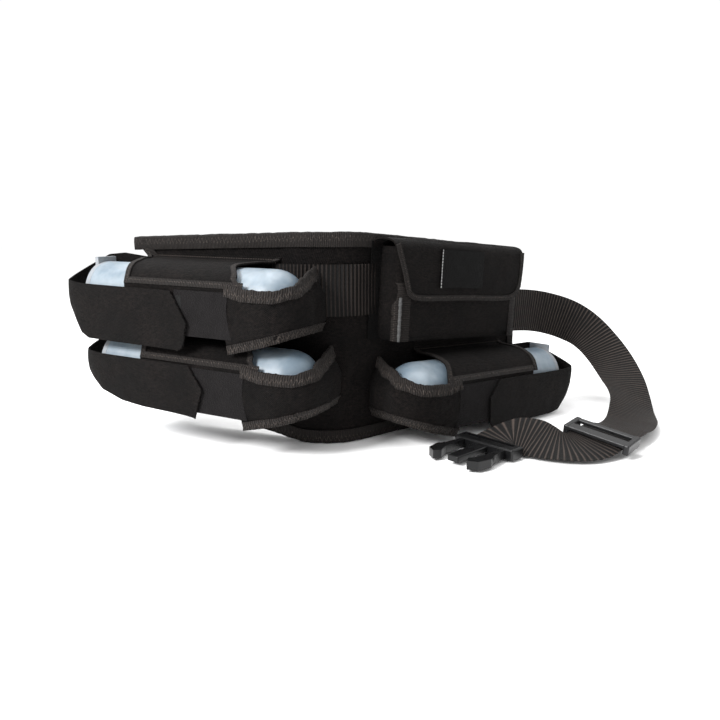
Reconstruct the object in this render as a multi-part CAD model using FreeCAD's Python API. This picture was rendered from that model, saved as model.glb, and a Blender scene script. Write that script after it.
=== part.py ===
import FreeCAD, Part
import os; os.makedirs("parts", exist_ok=True)
import math
from FreeCAD import Vector as V

# Waist belt with three horizontal tube pouches, a gear pouch and a webbing
# waist strap with a side-release buckle.  Millimetres, +Z up, the belt stands
# on its lower binding at z = 0.  u runs outward along a wing of the belt,
# v outward from the belt's outer face, w up from a pouch's own centre.

# ---- driving dimensions -------------------------------------------------
LEFT_DEG = 24.8          # wing directions, measured back from the X axis
RIGHT_DEG = 39.7
BEND_R = 55.0            # outer radius of the bend between the wings
SHELL_T = 1.6            # outer nylon panel
FOAM_T = 6.0
LINING_T = 1.6
BODY_T = SHELL_T + FOAM_T + LINING_T
BODY_H = 202.0           # height at the bend
BIND_T = 1.2             # binding tape
BIND_W = 14.0
FABRIC_T = 1.6
POD_R = 29.4             # tube outside radius
POD_WALL = 1.5
POD_V = 32.0             # tube axis, outward of the belt face
POD_U0 = 13.0            # domed tip
POD_U1 = 238.5          # mouth
FRONT_V = 62.4           # inner side of a pouch's front panel
CUP_U = 66.0
SLEEVE_U0, SLEEVE_U1 = 67.0, 188.0
SKIRT_W = -41.0          # lower edge of a pouch's front
STRAP_W, STRAP_T = 50.0, 1.8
ORIGIN_SHIFT = V(-2.2200, -68.1038, 0.0)

# pouch: side, shift along u, height of the tube axis, tilt, flap corner u
POUCHES = {
    "upper_left": ("L", 0.0, 143.0, 1.0, 262.0),
    "lower_left": ("L", -14.0, 72.0, 1.6, 243.0),
    "right": ("R", 34.0, 46.0, -2.2, 296.0),
}
TILT_U = 150.0

aL, aR = math.radians(LEFT_DEG), math.radians(RIGHT_DEG)
dL, nL = V(-math.cos(aL), math.sin(aL), 0), V(-math.sin(aL), -math.cos(aL), 0)
dR, nR = V(math.cos(aR), math.sin(aR), 0), V(math.sin(aR), -math.cos(aR), 0)
HALF = (math.pi - (math.pi - aL - aR)) / 2.0      # half the turning angle
T0 = BEND_R * math.tan(HALF)                      # where the bend starts
CB = dL * T0 - nL * BEND_R                        # bend centre in plan

def to_world(shape, side):
    """local (u, v, z) solid -> its place on a wing"""
    if side == "R":
        shape = shape.mirror(V(0, 0, 0), V(1, 0, 0))
        x = V(-dR.x, -dR.y, 0)
        y = nR
    else:
        x, y = dL, nL
    m = FreeCAD.Matrix(x.x, y.x, 0, 0, x.y, y.y, 0, 0, 0, 0, 1, 0, 0, 0, 0, 1)
    out = shape.copy()
    out.Placement = FreeCAD.Placement(m).multiply(out.Placement)
    return out

def wp(side, u, v, z):
    d, n = (dL, nL) if side == "L" else (dR, nR)
    return d * u + n * v + V(0, 0, z)

def face(pts):
    return Part.Face(Part.makePolygon(list(pts) + [pts[0]]))

def prism_uz(pts, v0, v1):
    """polygon in (u, z), thick in v"""
    return face([V(u, v0, z) for u, z in pts]).extrude(V(0, v1 - v0, 0))

def prism_uv(pts, z0, z1):
    return face([V(u, v, z0) for u, v in pts]).extrude(V(0, 0, z1 - z0))

def prism_vz(pts, u0, u1):
    return face([V(u0, v, z) for v, z in pts]).extrude(V(u1 - u0, 0, 0))

def box(u0, u1, v0, v1, z0, z1):
    return Part.makeBox(u1 - u0, v1 - v0, z1 - z0, V(u0, v0, z0))

def fuse(shapes):
    s = shapes[0]
    if len(shapes) > 1:
        s = s.multiFuse(shapes[1:])
    s = s.removeSplitter()
    if s.ShapeType == "Compound" and len(s.Solids) == 1:
        s = s.Solids[0]
    return s

def cut(a, b):
    s = a.cut(b)
    if s.ShapeType == "Compound" and len(s.Solids) == 1:
        s = s.Solids[0]
    return s

def common(a, b):
    s = a.common(b)
    if s.ShapeType == "Compound" and len(s.Solids) == 1:
        s = s.Solids[0]
    return s

def thick_path(pts, t0, t1):
    """closed polygon of a polyline offset to its left by t0 and t1 (mitred)"""
    def off(t):
        out = []
        n = len(pts)
        for i in range(n):
            if i == 0:
                a, b = pts[0], pts[1]
            elif i == n - 1:
                a, b = pts[-2], pts[-1]
            else:
                a = b = None
            if a is not None:
                dx, dy = b[0] - a[0], b[1] - a[1]
                L = math.hypot(dx, dy)
                out.append((pts[i][0] - dy / L * t, pts[i][1] + dx / L * t))
            else:
                d1 = (pts[i][0] - pts[i - 1][0], pts[i][1] - pts[i - 1][1])
                d2 = (pts[i + 1][0] - pts[i][0], pts[i + 1][1] - pts[i][1])
                l1, l2 = math.hypot(*d1), math.hypot(*d2)
                n1, n2 = (-d1[1] / l1, d1[0] / l1), (-d2[1] / l2, d2[0] / l2)
                m = (n1[0] + n2[0], n1[1] + n2[1])
                k = t / (1 + n1[0] * n2[0] + n1[1] * n2[1])
                out.append((pts[i][0] + m[0] * k, pts[i][1] + m[1] * k))
        return out
    return off(t0) + off(t1)[::-1]

parts = {}

# ---- belt body ----------------------------------------------------------
R_END_U = 268.0

def left_profile(top, bot):
    """outline of the left wing in (u, z); top/bot shift its long edges"""
    return [(T0, BODY_H + top), (233.0, 197.2 + top), (205.0, 168.0), (200.0, 30.0 + bot), (T0, BIND_T + bot)]

def right_profile(top, bot):
    return [(T0, BODY_H + top), (156.0, 193.0 + top), (R_END_U, 180.0 + top), (R_END_U, BIND_T + bot), (T0, BIND_T + bot)]

def bend(v0, v1, z0, z1):
    """sector of the bend between offsets v0 and v1"""
    r0, r1 = BEND_R + v0, BEND_R + v1
    def P(r, f):
        a = math.atan2(nL.y, nL.x) + f * 2 * HALF
        return CB + V(r * math.cos(a), r * math.sin(a), z0)
    e = [Part.Arc(P(r1, 0), P(r1, .5), P(r1, 1)).toShape(),
         Part.makeLine(P(r1, 1), P(r0, 1)),
         Part.Arc(P(r0, 1), P(r0, .5), P(r0, 0)).toShape(),
         Part.makeLine(P(r0, 0), P(r1, 0))]
    return Part.Face(Part.Wire(e)).extrude(V(0, 0, z1 - z0))

def body_layer(v0, v1):
    return fuse([to_world(prism_uz(left_profile(0, 0), v0, v1), "L"),
                 bend(v0, v1, BIND_T, BODY_H),
                 to_world(prism_uz(right_profile(0, 0), v0, v1), "R")])

parts["outer_panel"] = body_layer(-SHELL_T, 0)
parts["foam_core"] = body_layer(-SHELL_T - FOAM_T, -SHELL_T)
parts["lining_panel"] = body_layer(-BODY_T, -SHELL_T - FOAM_T)
SOLID_BODY = body_layer(-BODY_T, 0)

def top_strip(v0, v1, lo, hi, uL, uR):
    kL = (197.2 - BODY_H) / (233.0 - T0)
    zl = lambda u: BODY_H + kL * (u - T0)
    zr = lambda u: BODY_H + (193.0 - BODY_H) / (156.0 - T0) * (u - T0) if u <= 156 else 193.0 - 13.0 / (R_END_U - 156.0) * (u - 156.0)
    L = [(T0, zl(T0) + lo), (uL, zl(uL) + lo), (uL, zl(uL) + hi), (T0, zl(T0) + hi)]
    R = [(T0, BODY_H + lo), (156, 193 + lo), (uR, zr(uR) + lo), (uR, zr(uR) + hi), (156, 193 + hi), (T0, BODY_H + hi)]
    return fuse([to_world(prism_uz(L, v0, v1), "L"), bend(v0, v1, BODY_H + lo, BODY_H + hi), to_world(prism_uz(R, v0, v1), "R")])

parts["binding_top"] = fuse([top_strip(0, BIND_T, -BIND_W, BIND_T, 214.0, 256.0),
                             top_strip(-BODY_T - BIND_T, -BODY_T, -BIND_W, BIND_T, 214.0, 256.0),
                             top_strip(-BODY_T, 0, 0, BIND_T, 214.0, 256.0)])

def bottom_strip(v0, v1, lo, hi, uL, uR):
    k = (30.0 - BIND_T) / (200.0 - T0)
    zl = lambda u: k * (u - T0)
    L = [(T0, BIND_T + lo), (uL, BIND_T + zl(uL) + lo), (uL, BIND_T + zl(uL) + hi), (T0, BIND_T + hi)]
    R = [(T0, BIND_T + lo), (uR, BIND_T + lo), (uR, BIND_T + hi), (T0, BIND_T + hi)]
    return fuse([to_world(prism_uz(L, v0, v1), "L"), bend(v0, v1, BIND_T + lo, BIND_T + hi), to_world(prism_uz(R, v0, v1), "R")])

parts["binding_bottom"] = fuse([bottom_strip(0, BIND_T, -BIND_T, BIND_W - BIND_T, 188.0, 256.0),
                                bottom_strip(-BODY_T - BIND_T, -BODY_T, -BIND_T, BIND_W - BIND_T, 188.0, 256.0),
                                bottom_strip(-BODY_T, 0, -BIND_T, 0, 188.0, 256.0)])

# end bindings: channel sections round the slanted left end and the right end
le = thick_path([(200.0, 30.0), (205.0, 168.0), (233.0, 197.2)], 0.0, 10.0)
lc = thick_path([(200.0, 30.0), (205.0, 168.0), (233.0, 197.2)], -BIND_T, 0.0)
keep_l = box(188.3, 260.0, -20, 20, 14.0, 183.0)
keep_lt = box(214.3, 260.0, -20, 20, 160.0, 197.0)
lsh = fuse([prism_uz(le, 0, BIND_T), prism_uz(le, -BODY_T - BIND_T, -BODY_T), prism_uz(lc, -BODY_T - BIND_T, BIND_T)])
lsh = common(lsh, fuse([keep_l, keep_lt]))
parts["binding_end_left"] = to_world(cut(lsh, fuse([prism_uz([(150, 189.0 - 8), (214.2, 197.6 - 14.2), (214.2, 230), (150, 230)], -30, 30)])), "L")
re_ = [(256.2, 15.0), (R_END_U, 15.0), (R_END_U, 180.0), (256.2, 181.3)]
rsh = fuse([prism_uz(re_, 0, BIND_T), prism_uz(re_, -BODY_T - BIND_T, -BODY_T),
            box(R_END_U, R_END_U + BIND_T, -BODY_T - BIND_T, BIND_T, BIND_T, 180.0)])
parts["binding_end_right"] = to_world(rsh, "R")

# ribbed elastic band across the bend
parts["elastic_band"] = fuse([to_world(box(T0, 64.0, 0, 2.0, 126.0, 174.0), "L"), bend(0, 2.0, 126.0, 174.0),
                              to_world(box(T0, 52.0, 0, 2.0, 126.0, 174.0), "R")])

# ---- tube pouches -------------------------------------------------------
def put(shape, name):
    side, du, z, tilt, _ = POUCHES[name]
    s = shape.copy()
    s.translate(V(du, 0, 0))
    # outer end up for a positive tilt: turn about the v axis
    s.rotate(V(TILT_U, 0, 0), V(0, 1, 0), -tilt)
    s.translate(V(0, 0, z))
    return to_world(s, side)

def pouch(name):
    side, du, z, tilt, wall_u = POUCHES[name]
    wu = wall_u - du                    # flap corner in this pouch's own u
    # the sleeve wraps over the tube from its seam and back underneath
    prof = [(0.0, 32.5), (20.0, 32.5), (46.0, 29.0), (59.0, 18.5), (62.4, 8.0), (62.4, -30.6), (0.0, -30.6)]
    parts["sleeve_" + name] = put(prism_vz(thick_path(prof, 0.0, FABRIC_T), SLEEVE_U0, SLEEVE_U1), name)
    # end cup: front, domed end and back to the belt
    if name == "upper_left":
        path = [(CUP_U, 62.4), (28.0, 62.4), (14.5, 55.0), (9.5, 42.0), (9.5, 14.0), (12.5, -10.0)]
    elif name == "lower_left":
        path = [(CUP_U, 62.4), (28.0, 62.4), (14.5, 55.0), (9.5, 42.0), (9.5, 14.0), (14.5, -18.5)]
    else:
        path = [(CUP_U, 62.4), (28.0, 62.4), (14.5, 55.0), (9.5, 42.0), (9.5, 14.0), (11.0, 0.0)]
    low = SKIRT_W - (3.0 if name == "upper_left" else 0.0)
    tall = prism_uv(thick_path(path, 0.0, -FABRIC_T), -60.0, 60.0)
    # the lower edge rises towards the domed end
    under = lambda d: prism_uz([(120, low + d), (66, low + d), (36, low + 8 + d), (-40, low + 30 + d), (-40, -120), (120, -120)], -80, 200)
    over = lambda d: prism_uz([(120, low + d), (66, low + d), (36, low + 8 + d), (-40, low + 30 + d), (-40, 120), (120, 120)], -80, 200)
    top_line = lambda v: 11.0 + (62.4 - v) * 0.17
    above = lambda d: prism_vz([(-60, top_line(-60) + d), (90, top_line(90) + d), (90, 90), (-60, 90)], -80, 200)
    below = lambda d: prism_vz([(-60, top_line(-60) + d), (90, top_line(90) + d), (90, -90), (-60, -90)], -80, 200)
    wall = cut(cut(tall, above(0)), under(0))
    plan = prism_uv([(CUP_U, 1.0), (CUP_U, 62.4), (28.0, 62.4), (14.5, 55.0), (9.5, 42.0), (9.5, 14.0), (11.0, 1.0)], -60.0, 0.0)
    floor_ = common(prism_uz([(70, -30.6), (36, -31.0), (0, -20.2), (0, -21.9), (36, -32.6), (70, -32.2)], 0.0, 70.0), plan)
    cup = put(fuse([wall, floor_]), name)
    parts["end_cup_" + name] = cut(cup, SOLID_BODY) if name != "right" else cut(cup, SOLID_BODY)
    band = prism_uv(thick_path(path, -FABRIC_T, -FABRIC_T - BIND_T), -60.0, 60.0)
    band = common(cut(band, above(0)), above(-11.0))
    lip = common(cut(prism_uv(thick_path(path, 0.0, -FABRIC_T - BIND_T), -60.0, 60.0), above(BIND_T)), above(0))
    cb = put(fuse([band, lip]), name)
    parts["cup_binding_" + name] = cut(cb, SOLID_BODY)
    hem = cut(cut(prism_uv(thick_path(path, -FABRIC_T, -FABRIC_T - BIND_T), -60.0, 60.0), under(0)), over(9.0))
    parts["cup_hem_" + name] = cut(put(hem, name), SOLID_BODY)
    # loop-tape panel on the front of the sleeve
    loop = prism_uz([(CUP_U + 2.0, 8.0), (128.0, 8.0), (128.0, -31.5), (CUP_U - 1 + 3.0, -31.5)], 64.0, 65.0)
    parts["loop_panel_" + name] = put(loop, name)
    # flap: a back tab on the belt, the wall across the lid end, the front
    root_u = 206.0 - du if side == "L" else 236.0 - du
    tab = prism_uz([(root_u - 30, 30.0), (root_u, 33.0), (wu - 2.2, 36.0), (wu - 2.2, -28.0), (root_u - 30, -28.0)], 0.0, FABRIC_T)
    if side == "R":
        # the belt carries the tab on this side as far as the lid end
        tab = prism_uz([(root_u - 30, 30.0), (wu - 2.2, 33.0), (wu - 2.2, -28.0), (root_u - 30, -28.0)], BIND_T, BIND_T + FABRIC_T)
        # pressed thin where the tube bears on it
        tab = cut(tab, box(root_u - 60, wu + 5, BIND_T + 0.7, BIND_T + FABRIC_T + 1.0, -10.0, 10.0))
    parts["flap_tab_" + name] = put(tab, name)
    hv = 0.8 if side == "L" else 2.0
    ftop = {"upper_left": 12.0, "lower_left": 14.0, "right": 11.0}[name]
    endw = prism_vz([(hv - 0.8, 34.0), (FRONT_V + 4.0, ftop), (FRONT_V + 4.0, -4.0), (hv - 0.8, -28.0)], wu, wu + FABRIC_T)
    parts["flap_end_" + name] = put(endw, name)
    if name == "lower_left":
        fp = [(wu - 0.4, 13), (wu - 0.4, -2), (wu - 9, -13), (wu - 28, -27), (wu - 62, -36), (124, -39), (116, -10), (132, 10)]
    elif name == "upper_left":
        fp = [(wu - 0.4, 11), (wu - 0.4, -4), (wu - 7, -17), (wu - 22, -44), (128, -47), (120, -43), (115, -21), (133, 8)]
    else:
        fp = [(wu - 0.4, 9), (wu - 0.4, -3), (wu - 12, -22), (wu - 28, -38), (124, -41), (118, -34), (116, -8), (131, 9)]
    front = prism_uz(fp, 65.6, 65.6 + FABRIC_T)
    parts["flap_front_" + name] = put(front, name)
    parts["hook_patch_" + name] = put(prism_uz([(121.5, -30.0), (127.5, -30.0), (127.5, 4.0), (121.5, 4.0)], 65.2, 65.6), name)
    # the tube and its lid
    outer = fuse([Part.makeCylinder(POD_R, POD_U1 - (POD_U0 + POD_R), V(POD_U0 + POD_R, POD_V, 0), V(1, 0, 0)),
                  Part.makeSphere(POD_R, V(POD_U0 + POD_R, POD_V, 0))])
    ri = POD_R - POD_WALL
    inner = fuse([Part.makeCylinder(ri, 300.0, V(POD_U0 + POD_R, POD_V, 0), V(1, 0, 0)),
                  Part.makeSphere(ri, V(POD_U0 + POD_R, POD_V, 0))])
    lug = box(POD_U1 - 8.0, POD_U1 - 1.0, POD_V - 8, POD_V + 8, -33.0, -28.8)
    shell = cut(fuse([outer, lug]), inner)
    parts["tube_" + name] = put(shell, name)
    lid = fuse([Part.makeCylinder(POD_R, 5.0, V(POD_U1 + 0.3, POD_V, 0), V(1, 0, 0)),
                Part.makeCylinder(POD_R - POD_WALL - 0.9, 2.3, V(POD_U1 - 2.0, POD_V, 0), V(1, 0, 0)),
                box(POD_U1 + 0.3, POD_U1 + 5.3, POD_V - 6, POD_V + 6, -33.0, -28.0),
                box(POD_U1 + 5.3, POD_U1 + 7.3, POD_V - 12, POD_V + 12, 18.0, 34.0),
                box(POD_U1 + 3.3, POD_U1 + 5.3, POD_V - 12, POD_V + 12, 24.0, 34.0)])
    parts["lid_" + name] = put(lid, name)

for n in POUCHES:
    pouch(n)

# ---- gear pouch ---------------------------------------------------------
GZ, GTILT, GU = 143.0, -3.4, 145.0
def putg(shape):
    s = shape.copy()
    s.rotate(V(GU, 0, 0), V(0, 1, 0), -GTILT)
    s.translate(V(0, 0, GZ))
    return to_world(s, "R")
G0, G1, GD, GB, GT = 57.0, 235.0, 28.0, -48.0, 44.0
gb = cut(box(G0, G1, 2.2, GD, GB, GT), box(G0 + 1.6, G1 - 1.6, 3.4, GD - 1.6, GB + 1.6, GT + 5))
parts["gear_pouch"] = putg(gb)
parts["gear_edge_left"] = putg(fuse([box(G0 - 1.2, G0, 14.0, GD + 1.2, GB, 8.0), box(G0 - 1.2, G0 + 9.0, GD, GD + 1.2, GB, 8.0)]))
parts["gear_edge_right"] = putg(fuse([box(G1, G1 + 1.2, 14.0, GD + 1.2, GB, 8.0), box(G1 - 9.0, G1 + 1.2, GD, GD + 1.2, GB, 8.0)]))
parts["gear_piping"] = putg(box(G0 - 1.2, G0 + 0.4, GD + 1.2, GD + 2.4, GB, -6.0))
parts["gear_loop_tape"] = putg(box(90.0, 205.0, GD, GD + 0.9, -2.0, 30.0))
parts["gear_back"] = putg(box(G0 - 14.0, G1, 2.2 - 2.2 + BIND_T + 0.0, 2.2, GB, GT))
FV = 30.4
parts["gear_flap_top"] = putg(prism_uz([(G0 - 12.0, 45.2), (G1, 45.2), (G1, 46.8), (G0 - 12.0, 46.8)], 3.0, FV + 1.2))
parts["gear_flap_front"] = putg(prism_uz([(G0 - 12.0, 44.6), (G1 + 1, 44.6), (G1 + 1, 14), (G1 - 6, 4), (G1 - 22, -4), (G0 + 36, -7), (G0 + 12, 0), (G0 + 2, 12)], FV, FV + FABRIC_T))
parts["gear_hook_tape"] = putg(box(92.0, 203.0, FV - 0.8, FV, -1.0, 24.0))
parts["label_patch"] = putg(box(105.0, 168.0, FV + FABRIC_T, FV + FABRIC_T + 1.0, 4.0, 41.0))

# ---- webbing strap, slide adjuster and buckle ---------------------------
# each station: centre and half-width vector
def unit(a):
    return a * (1.0 / a.Length)
ST = [(V(205.0, 176.2, 111.5), V(0, 0, 1)),
      (V(227, 194, 110), V(0, 0, 1)),
      (V(253, 207, 105.5), V(.02, .02, 1)),
      (V(282, 212, 97), V(.06, .10, 1)),
      (V(306, 207, 84), V(12, 22, 40)),
      (V(324, 186, 62), V(18, 34, 34)),
      (V(331, 154, 41), V(22, 40, 24)),
      (V(329, 114, 23), V(26, 40, 10)),
      (V(319, 76, 10.5), V(30, 34, 3)),
      (V(298, 38, 9), V(40, 12, -2)),
      (V(274, 12, 14), V(44, -16, -5)),
      (V(252, -11, 14), V(.855, -.484, -.10)),
      (V(235, -26, 9.5), V(.62, -.78, -.18)),
      (V(216, -29, 10), V(.10, -.98, -.22)),
      (V(198, -23, 12.5), V(-.10, -.93, -.36)),
      (V(181, -9, 14.5), V(-.2, -.8, -.45)),
      (V(164, -2, 11), V(.677, -.736, 0)),
      (V(150, -13, 7.5), V(.677, -.736, 0))]
ST = [(c, unit(w)) for c, w in ST]
def ribbon(st, width, thick):
    rows = []
    n = len(st)
    for i, (c, w) in enumerate(st):
        a = st[max(i - 1, 0)][0]
        b = st[min(i + 1, n - 1)][0]
        t = unit(b - a)
        w2 = unit(w - t * w.dot(t))
        nn = t.cross(w2)
        h = width / 2.0
        rows.append([c + w2 * h + nn * (thick / 2), c + w2 * h - nn * (thick / 2),
                     c - w2 * h - nn * (thick / 2), c - w2 * h + nn * (thick / 2)])
    fs = []
    for i in range(n - 1):
        for k in range(4):
            a, b = rows[i][k], rows[i][(k + 1) % 4]
            c, d = rows[i + 1][(k + 1) % 4], rows[i + 1][k]
            fs.append(face([a, b, c]))
            fs.append(face([a, c, d]))
    for r in (rows[0], rows[-1]):
        fs.append(face([r[0], r[1], r[2]]))
        fs.append(face([r[0], r[2], r[3]]))
    sh = Part.Shell(fs)
    so = Part.Solid(sh)
    if so.Volume < 0:
        so.reverse()
    return so
parts["waist_strap"] = ribbon(ST, STRAP_W, STRAP_T)

def frame_to(shape, origin, x, y):
    x = unit(x)
    z = unit(x.cross(y))
    y = z.cross(x)
    m = FreeCAD.Matrix(x.x, y.x, z.x, origin.x, x.y, y.y, z.y, origin.y, x.z, y.z, z.z, origin.z, 0, 0, 0, 1)
    out = shape.copy()
    out.Placement = FreeCAD.Placement(m).multiply(out.Placement)
    return out

# slide adjuster: two end cheeks and two bars above the webbing, one below
def rbox(x0, x1, y0, y1, z0, z1, r=1.2):
    b = Part.makeBox(x1 - x0, y1 - y0, z1 - z0, V(x0, y0, z0))
    return b.makeFillet(r, b.Edges)
tg = fuse([rbox(-32, -26.5, -14, 14, -4, 6, 1.5), rbox(26.5, 32, -14, 14, -4, 6, 1.5),
           rbox(-30, 30, 8, 13.5, 1.6, 5.6, 1.2), rbox(-30, 30, -13.5, -2.5, 1.6, 5.6, 1.2)])
tg = fuse([tg, rbox(-30, 30, -2.5, 2.5, -4.6, -1.6, 1.0)])
TG_X, TG_Y = V(.72, -.68, -.13), V(.70, .70, .09)
TG_O = V(252, -11, 14)
parts["slide_adjuster"] = frame_to(tg, TG_O, TG_X, TG_Y)

# male buckle half, local x across, y towards the prong tips, z up
base = fuse([rbox(-33, 33, -6, 12, -5.5, 5.5, 2.0)])
base = cut(base, box(-26.5, 26.5, -2.5, 2.2, -9, 9))
bar = rbox(-27.5, 27.5, -1.6, 1.6, -3.2, -0.4, 0.6)
guide = fuse([rbox(-6, 6, 10, 55, -3.0, 3.0, 1.2)])
base_all = fuse([base, bar, guide])
BK_X, BK_Y = V(.677, -.736, 0), V(-.736, -.677, 0)
BK_O = V(147, -15, 6.6)
def mkprong(s):
    pts = [(s * 20, 12.3), (s * 25, 12.3), (s * 27, 30), (s * 31, 40), (s * 28, 54), (s * 19, 59), (s * 15, 52), (s * 20, 40), (s * 20.5, 26)]
    return face([V(x, y, -4) for x, y in pts]).extrude(V(0, 0, 8))
pr_l, pr_r = mkprong(-1), mkprong(1)
# x axis and prong axis give the up direction
parts["buckle_male"] = frame_to(base_all, BK_O, BK_X, BK_Y)
parts["buckle_prong_a"] = frame_to(pr_l, BK_O, BK_X, BK_Y)
parts["buckle_prong_b"] = frame_to(pr_r, BK_O, BK_X, BK_Y)

# female half on a short sewn tab behind the left end
fem = fuse([rbox(-34, 34, 4, 50, -7, 7, 2.0), rbox(-33, 33, -8, 5, -4, 4, 1.5)])
fem = cut(fem, fuse([box(-31, 31, 9, 60, -4.6, 4.6), box(-26.5, 26.5, -4.5, 1.5, -9, 9),
                     box(-40, -22, 22, 40, -4.6, 4.6), box(22, 40, 22, 40, -4.6, 4.6)]))
def at_left(shape, u, z, v):
    # local x -> up, local y -> along +u, z -> inward
    return frame_to(shape, wp("L", u, v, z), V(0, 0, 1), dL)
parts["buckle_female"] = at_left(fem, 168.0, 112.0, -22.5)
parts["buckle_tab"] = to_world(fuse([box(120.0, 153.0, -BODY_T - 1.6, -BODY_T, 87.0, 137.0),
                                     prism_uv([(150.0, -BODY_T - 1.6), (153.0, -BODY_T), (170.0, -20.0 - 0.4), (170.0, -22.0 - 0.4)], 87.0, 137.0)]), "L")

# pieces sewn over one another keep clear of the one beneath
def trim(name, *over):
    t = cut(parts[name], fuse([parts[o] for o in over]))
    if len(t.Solids) > 1:
        t = max(t.Solids, key=lambda q: q.Volume)
    parts[name] = t
trim("elastic_band", "end_cup_upper_left", "cup_binding_upper_left", "cup_hem_upper_left", "gear_back")
trim("end_cup_right", "binding_bottom")
trim("sleeve_right", "binding_bottom")
trim("cup_hem_right", "binding_bottom")
trim("sleeve_lower_left", "binding_bottom", "end_cup_upper_left")
trim("flap_tab_lower_left", "binding_bottom")
trim("binding_end_left", "flap_tab_lower_left", "flap_tab_upper_left")
trim("buckle_tab", "buckle_female")

if True:
    for name, s in parts.items():
        t = s.copy()
        t.translate(ORIGIN_SHIFT)
        if len(t.Solids) != 1 or not t.isValid():
            print("NOTE", name, t.ShapeType, len(t.Solids), t.isValid())
        if t.ShapeType == "Compound" and len(t.Solids) == 1:
            t = t.Solids[0]
        t.exportStep("parts/%s.step" % name)
    bb = None
    for name, s in parts.items():
        if name in ("waist_strap", "slide_adjuster", "buckle_male", "buckle_prong_a", "buckle_prong_b"):
            continue
        b = s.BoundBox
        bb = FreeCAD.BoundBox(b) if bb is None else bb
        bb.add(b)
    print("nodes", len(parts), "box", bb)
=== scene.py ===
import bpy, bmesh, math
from mathutils import Vector, Matrix, noise


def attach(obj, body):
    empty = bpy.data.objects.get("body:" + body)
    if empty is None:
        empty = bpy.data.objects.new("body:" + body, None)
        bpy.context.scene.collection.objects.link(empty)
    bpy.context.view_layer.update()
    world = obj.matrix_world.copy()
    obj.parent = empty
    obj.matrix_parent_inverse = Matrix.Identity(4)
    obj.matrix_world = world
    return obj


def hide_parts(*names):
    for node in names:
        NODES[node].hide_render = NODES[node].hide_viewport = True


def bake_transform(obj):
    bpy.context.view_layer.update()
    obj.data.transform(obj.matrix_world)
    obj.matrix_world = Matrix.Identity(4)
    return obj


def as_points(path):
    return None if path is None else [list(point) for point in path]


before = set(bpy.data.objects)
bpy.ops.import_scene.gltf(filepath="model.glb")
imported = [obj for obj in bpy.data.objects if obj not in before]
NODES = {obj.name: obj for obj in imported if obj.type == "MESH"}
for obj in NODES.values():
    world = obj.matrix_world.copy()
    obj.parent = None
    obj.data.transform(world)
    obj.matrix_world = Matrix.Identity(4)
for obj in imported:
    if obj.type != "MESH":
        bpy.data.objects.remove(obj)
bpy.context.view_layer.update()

# ------------------------------------------------------------------ frame
SX, SY = -2.2200, -68.1038
aL, aR = math.radians(24.8), math.radians(39.7)
dL, nL = Vector((-math.cos(aL), math.sin(aL), 0)), Vector((-math.sin(aL), -math.cos(aL), 0))
dR, nR = Vector((math.cos(aR), math.sin(aR), 0)), Vector((math.sin(aR), -math.cos(aR), 0))
HALF = (aL + aR) / 2.0
BEND_R = 55.0
T0 = BEND_R * math.tan(HALF)
CB = dL * T0 - nL * BEND_R
SH = Vector((SX, SY, 0))

def W(side, u, v, z):
    d, n = (dL, nL) if side == "L" else (dR, nR)
    return d * u + n * v + Vector((0, 0, z)) + SH

POUCH = {"upper_left": ("L", 0.0, 143.0, 1.0, 262.0),
         "lower_left": ("L", -14.0, 72.0, 1.6, 243.0),
         "right": ("R", 34.0, 46.0, -2.2, 296.0)}

def PL(name):
    side, du, z, t, wall = POUCH[name]
    t = math.radians(t)
    def f(u, v, w):
        x = u + du - 150.0
        return W(side, 150 + x * math.cos(t) - w * math.sin(t), v, x * math.sin(t) + w * math.cos(t) + z)
    return f

GT_ = math.radians(-3.4)
def GL(u, v, w):
    x = u - 145.0
    return W("R", 145 + x * math.cos(GT_) - w * math.sin(GT_), v, x * math.sin(GT_) + w * math.cos(GT_) + 143.0)

# body path: s < 0 on the left wing, 0..ARC on the bend, beyond it the right wing
ARC = 2 * HALF * BEND_R
def BODY(s, v, z):
    """s in mm along the outer face from the start of the bend; v outward"""
    if s <= 0:
        return W("L", T0 - s, v, z)
    if s >= ARC:
        return W("R", T0 + (s - ARC), v, z)
    a = math.atan2(nL.y, nL.x) + s / BEND_R
    r = BEND_R + v
    return CB + Vector((r * math.cos(a), r * math.sin(a), z)) + SH
def s_of(side, u):
    return -(u - T0) if side == "L" else ARC + (u - T0)

def clamp(x, a=0.0, b=1.0):
    return max(a, min(b, x))
def smooth(x):
    x = clamp(x)
    return x * x * (3 - 2 * x)
def lerp(a, b, t):
    return a + (b - a) * t
def interp(tab, x):
    if x <= tab[0][0]:
        return tab[0][1]
    for (x0, y0), (x1, y1) in zip(tab, tab[1:]):
        if x <= x1:
            return lerp(y0, y1, (x - x0) / (x1 - x0) if x1 > x0 else 0)
    return tab[-1][1]
def sinterp(tab, x):
    """as interp, with eased runs"""
    if x <= tab[0][0]:
        return tab[0][1]
    for (x0, y0), (x1, y1) in zip(tab, tab[1:]):
        if x <= x1:
            return lerp(y0, y1, smooth((x - x0) / (x1 - x0)))
    return tab[-1][1]
def fbm(p, seed=0.0, oct_=3):
    q = Vector((p.x + seed * 17.3, p.y - seed * 9.1, p.z + seed * 5.7))
    return noise.fractal(q, 1.0, 2.0, oct_)

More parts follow.
